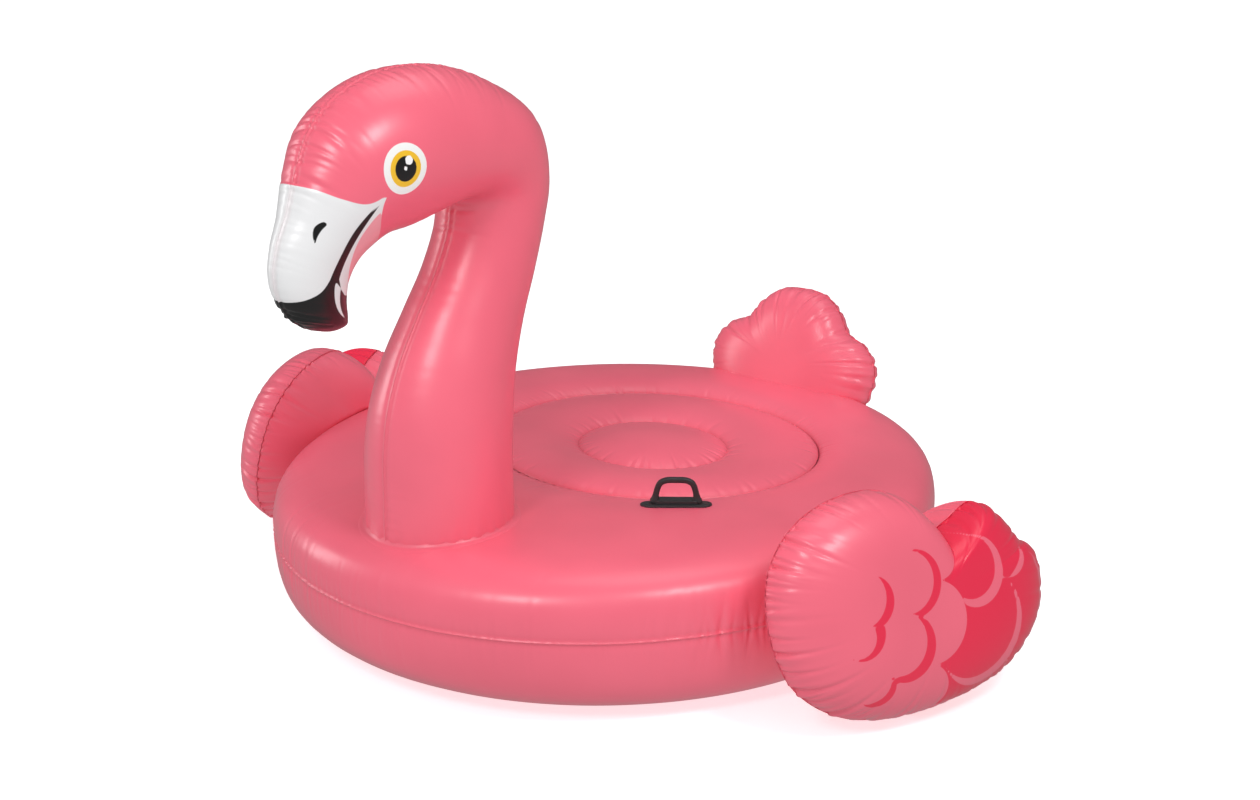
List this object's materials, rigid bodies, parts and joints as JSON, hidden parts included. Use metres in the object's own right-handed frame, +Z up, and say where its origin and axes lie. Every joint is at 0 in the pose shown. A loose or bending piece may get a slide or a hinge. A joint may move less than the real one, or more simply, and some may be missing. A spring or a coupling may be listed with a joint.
{
  "type": "inflatable pool float",
  "caption": "Ride-on inflatable island shaped as a flamingo: round ring hull with an air floor, upright neck and head, side wings, tail fan, grab handles and stoppered valves.",
  "frame": {"origin": "under the middle of the whole object's box, on the surface that the hull rests on", "axes": "+Z up, the bird faces -Y, its left wing is at +X"},
  "size_m": [2.0154, 1.78, 1.2391],
  "materials": {
    "hull_vinyl": "satin gloss welded vinyl film",
    "floor_vinyl": "satin gloss welded vinyl film",
    "neck_vinyl": "satin gloss vinyl film, head and beak printed in white, black and yellow",
    "wing_vinyl": "satin gloss vinyl film with a printed scalloped feather pattern",
    "tail_vinyl": "satin gloss welded vinyl film",
    "handle_plastic": "dark grey soft moulded vinyl",
    "valve_plastic": "soft translucent moulded vinyl",
    "valve_flap_vinyl": "thin clear film"
  },
  "bodies": {
    "float": {"floor_baffle": "floor_vinyl", "floor_bottom_skin": "floor_vinyl", "floor_top_skin": "floor_vinyl", "floor_valve": "valve_plastic", "floor_valve_flap": "valve_flap_vinyl", "hull_bottom_skin": "hull_vinyl", "hull_top_skin": "hull_vinyl", "hull_valve": "valve_plastic", "hull_valve_flap": "valve_flap_vinyl", "left_handle": "handle_plastic", "left_wing_inner_skin": "wing_vinyl", "left_wing_outer_skin": "wing_vinyl", "left_wing_valve": "valve_plastic", "left_wing_valve_flap": "valve_flap_vinyl", "neck_left_skin": "neck_vinyl", "neck_right_skin": "neck_vinyl", "neck_valve": "valve_plastic", "neck_valve_flap": "valve_flap_vinyl", "neck_weld_ring": "hull_vinyl", "right_handle": "handle_plastic", "right_wing_inner_skin": "wing_vinyl", "right_wing_outer_skin": "wing_vinyl", "right_wing_valve": "valve_plastic", "right_wing_valve_flap": "valve_flap_vinyl", "tail_back_skin": "tail_vinyl", "tail_front_skin": "tail_vinyl", "tail_valve": "valve_plastic", "tail_valve_flap": "valve_flap_vinyl"},
    "hull_valve_plug": {"hull_valve_plug": "valve_plastic"},
    "neck_valve_plug": {"neck_valve_plug": "valve_plastic"},
    "left_wing_valve_plug": {"left_wing_valve_plug": "valve_plastic"},
    "right_wing_valve_plug": {"right_wing_valve_plug": "valve_plastic"},
    "tail_valve_plug": {"tail_valve_plug": "valve_plastic"},
    "floor_valve_plug": {"floor_valve_plug": "valve_plastic"}
  },
  "joints": [
    {"name": "hull_plug_hinge", "type": "hinge", "parent": "float", "child": "hull_valve_plug", "pos_m": [-0.4659, 0.64412, 0.23629], "axis": [0.0279, -0.0325, 0.9991], "range_deg": [0, 130]},
    {"name": "neck_plug_hinge", "type": "hinge", "parent": "float", "child": "neck_valve_plug", "pos_m": [-0.12796, -0.39975, 0.51989], "axis": [-0.0134, 0.0091, 0.9999], "range_deg": [0, 130]},
    {"name": "left_wing_plug_hinge", "type": "hinge", "parent": "float", "child": "left_wing_valve_plug", "pos_m": [0.74442, 0.15138, 0.21588], "axis": [0.2115, -0.0732, -0.9746], "range_deg": [0, 130]},
    {"name": "right_wing_plug_hinge", "type": "hinge", "parent": "float", "child": "right_wing_valve_plug", "pos_m": [-0.74442, 0.15138, 0.21588], "axis": [0.2115, 0.0732, 0.9746], "range_deg": [0, 130]},
    {"name": "tail_plug_hinge", "type": "hinge", "parent": "float", "child": "tail_valve_plug", "pos_m": [0.0754, 0.88021, 0.37909], "axis": [0.0076, 0.1343, 0.9909], "range_deg": [0, 130]},
    {"name": "floor_plug_hinge", "type": "hinge", "parent": "float", "child": "floor_valve_plug", "pos_m": [0.015, -0.04808, 0.0333], "axis": [0, -0.9989, -0.0463], "range_deg": [0, 130]}
  ]
}
